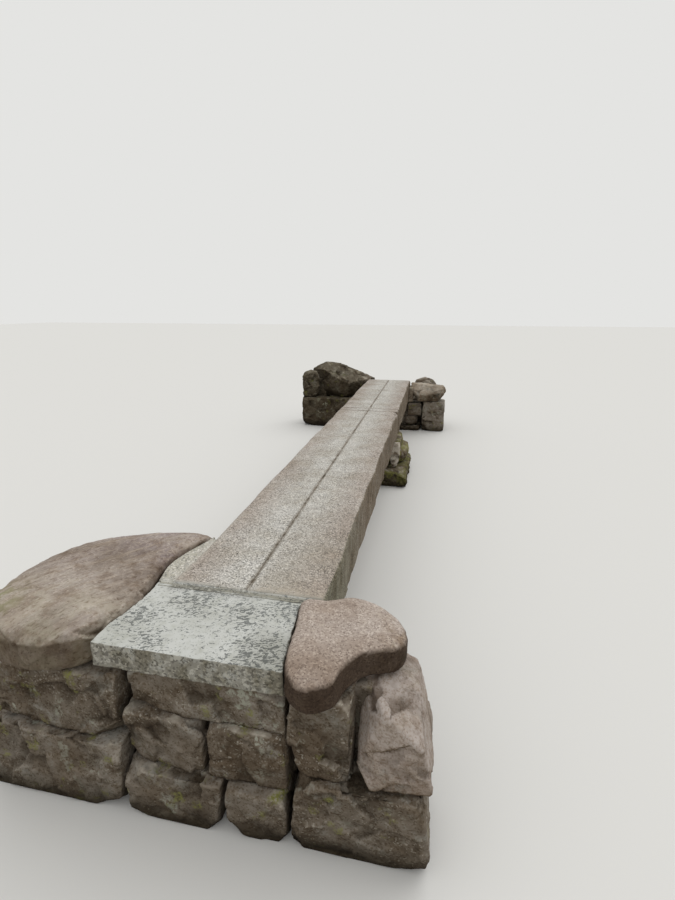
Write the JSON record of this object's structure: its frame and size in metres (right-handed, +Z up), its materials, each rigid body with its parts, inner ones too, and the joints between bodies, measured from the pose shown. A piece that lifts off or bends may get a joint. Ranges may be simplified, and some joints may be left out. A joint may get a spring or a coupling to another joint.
{
  "type": "stone slab garden bridge",
  "caption": "Flat two-span garden bridge of rough granite slabs on a boulder pier, with guardian stones at its corners.",
  "frame": {"origin": "middle of the pier's flat base, on the deck's centre line, at the level where the stones meet the water", "axes": "+X across the deck to the right, +Y along the deck from the near bank to the far bank, +Z up"},
  "size_m": [3.0687, 9.1449, 1.345],
  "materials": {
    "dressed_granite": "rough-dressed grey granite with tan stains",
    "pale_cement": "pale cement face with grey aggregate",
    "pink_granite": "weathered pinkish granite",
    "streaked_boulder": "streaked brown-grey boulder",
    "pale_field_stone": "pale lichened field stone",
    "mossy_pier_stone": "dark stone with moss",
    "brown_bank_stone": "split brown-grey field stone"
  },
  "bodies": {
    "root": {"near_left_slab": "dressed_granite", "near_right_slab": "dressed_granite", "left_closer_stone": "dressed_granite", "right_closer_stone": "dressed_granite", "far_left_slab": "dressed_granite", "far_right_slab": "dressed_granite", "pier_cap_stone": "mossy_pier_stone", "pier_left_stone": "mossy_pier_stone", "pier_right_stone": "mossy_pier_stone", "pier_wedge_stone": "pale_field_stone", "pier_base_stone": "mossy_pier_stone", "near_bearing_stone": "brown_bank_stone", "near_left_block": "brown_bank_stone", "near_right_block": "brown_bank_stone", "near_footing_stone": "brown_bank_stone", "threshold_slab": "pale_cement", "threshold_bed_stone": "brown_bank_stone", "threshold_middle_left_stone": "brown_bank_stone", "threshold_middle_right_stone": "brown_bank_stone", "threshold_footing_stone": "brown_bank_stone", "threshold_footing_left_stone": "brown_bank_stone", "left_guardian_boulder": "streaked_boulder", "left_mortar_fillet": "pale_cement", "left_bank_upper_stone": "brown_bank_stone", "left_bank_front_stone": "brown_bank_stone", "left_bank_rear_upper_stone": "brown_bank_stone", "left_bank_rear_stone": "brown_bank_stone", "heart_guardian_stone": "pink_granite", "right_edge_stone": "pink_granite", "right_bank_upper_stone": "brown_bank_stone", "right_bank_lower_stone": "brown_bank_stone", "far_bearing_stone": "brown_bank_stone", "far_right_squared_block": "brown_bank_stone", "far_left_squared_block": "brown_bank_stone", "far_right_round_stone": "brown_bank_stone", "far_left_round_stone": "brown_bank_stone", "far_middle_stone": "brown_bank_stone", "far_footing_stone": "brown_bank_stone", "far_left_guardian_rock": "brown_bank_stone", "far_left_side_rock": "brown_bank_stone", "far_left_bank_stone": "brown_bank_stone", "far_right_flat_stone": "pale_field_stone", "far_right_bank_stone": "brown_bank_stone", "far_right_grey_rock": "brown_bank_stone", "far_right_back_stone": "brown_bank_stone"}
  },
  "joints": []
}
